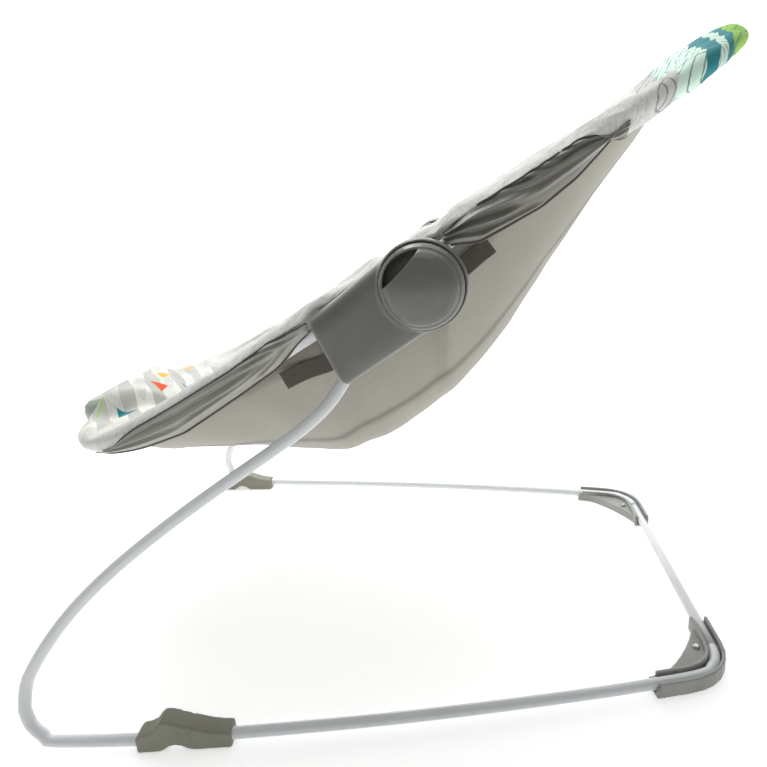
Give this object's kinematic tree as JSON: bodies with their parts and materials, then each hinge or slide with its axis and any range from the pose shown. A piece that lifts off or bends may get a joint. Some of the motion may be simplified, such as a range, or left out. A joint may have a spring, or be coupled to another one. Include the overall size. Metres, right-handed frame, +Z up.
{
  "type": "infant bouncer seat",
  "caption": "Reclined infant bouncer seat: padded fabric sling between tube loops, on side hubs and a springy bent steel tube base.",
  "frame": {"origin": "on the floor, in the middle of the object's length and width", "axes": "+X towards the head end, +Z up, -Y towards the left hand of a child lying in the seat"},
  "size_m": [0.6404, 0.4975, 0.5587],
  "materials": {
    "white_tube": "white powder coat, satin",
    "bracket_plastic": "grey moulded plastic, satin",
    "hub_plastic": "grey moulded plastic, satin with fine texture",
    "housing_plastic": "grey moulded plastic, satin",
    "foot_rubber": "olive grey soft rubber, matt",
    "satin_fabric": "grey satin lining",
    "printed_fabric": "off-white fabric with a coloured print at the head end",
    "pad_fabric": "heather white quilted fabric with small printed triangles",
    "sling_fabric": "beige grey woven mesh",
    "webbing": "dark grey brown woven webbing",
    "buckle_plastic": "grey acetal",
    "switch_plastic": "dark grey",
    "cell_wrap": "plain dark wrap",
    "bright_steel": "zinc plated"
  },
  "bodies": {
    "base": {"left_base_rail": "white_tube", "right_base_rail": "white_tube", "left_crossbar_plug": "bright_steel", "right_crossbar_plug": "bright_steel", "left_corner_bracket": "bracket_plastic", "right_corner_bracket": "bracket_plastic", "left_front_foot": "foot_rubber", "right_front_foot": "foot_rubber", "left_bracket_screw": "bright_steel", "right_bracket_screw": "bright_steel", "rear_crossbar": "white_tube"},
    "seat": {"left_upright": "white_tube", "right_upright": "white_tube", "left_foot_sleeve": "satin_fabric", "right_foot_sleeve": "satin_fabric", "left_side_strap": "webbing", "right_side_strap": "webbing", "left_buckle_body": "buckle_plastic", "right_buckle_body": "buckle_plastic", "left_waist_strap": "webbing", "right_waist_strap": "webbing", "left_hub_outer": "hub_plastic", "right_hub_outer": "hub_plastic", "left_hub_inner": "hub_plastic", "right_hub_inner": "hub_plastic", "left_hub_cap": "hub_plastic", "right_hub_cap": "hub_plastic", "left_hub_front_screw": "bright_steel", "right_hub_front_screw": "bright_steel", "left_hub_rear_screw": "bright_steel", "right_hub_rear_screw": "bright_steel", "front_loop_tube": "white_tube", "back_loop_tube": "white_tube", "head_sleeve": "printed_fabric", "sling": "sling_fabric", "seat_pad": "pad_fabric", "crotch_strap": "pad_fabric", "vibration_unit_cover": "housing_plastic", "vibration_unit_base": "housing_plastic", "battery": "cell_wrap", "battery_contact_minus": "bright_steel", "battery_contact_plus": "bright_steel", "motor": "bright_steel"},
    "battery_door": {"battery_door": "housing_plastic", "battery_door_screw": "bright_steel"},
    "eccentric": {"eccentric_weight": "bright_steel"},
    "switch": {"power_switch": "switch_plastic"},
    "left_plug": {"left_buckle_plug": "buckle_plastic"},
    "right_plug": {"right_buckle_plug": "buckle_plastic"}
  },
  "joints": [
    {"name": "seat_bounce", "type": "hinge", "parent": "base", "child": "seat", "pos_m": [-0.293, 0, 0.039], "axis": [0, 1, 0], "range_deg": [-3, 8], "stiffness_Nm_per_rad": 160, "springref_deg": -2.86},
    {"name": "battery_door_open", "type": "hinge", "parent": "seat", "child": "battery_door", "pos_m": [-0.2905, 0, 0.19923], "axis": [0, 1, 0], "range_deg": [0, 75]},
    {"name": "eccentric_spin", "type": "hinge", "parent": "seat", "child": "eccentric", "pos_m": [-0.27437, 0, 0.22453], "axis": [0, 1, 0], "continuous": true},
    {"name": "power_switch_slide", "type": "slide", "parent": "seat", "child": "switch", "axis": [0, 1, 0], "range_m": [0, 0.007]},
    {"name": "left_buckle_release", "type": "slide", "parent": "seat", "child": "left_plug", "axis": [0, -1, 0], "range_m": [0, 0.008]},
    {"name": "right_buckle_release", "type": "slide", "parent": "seat", "child": "right_plug", "axis": [0, 1, 0], "range_m": [0, 0.008]}
  ]
}
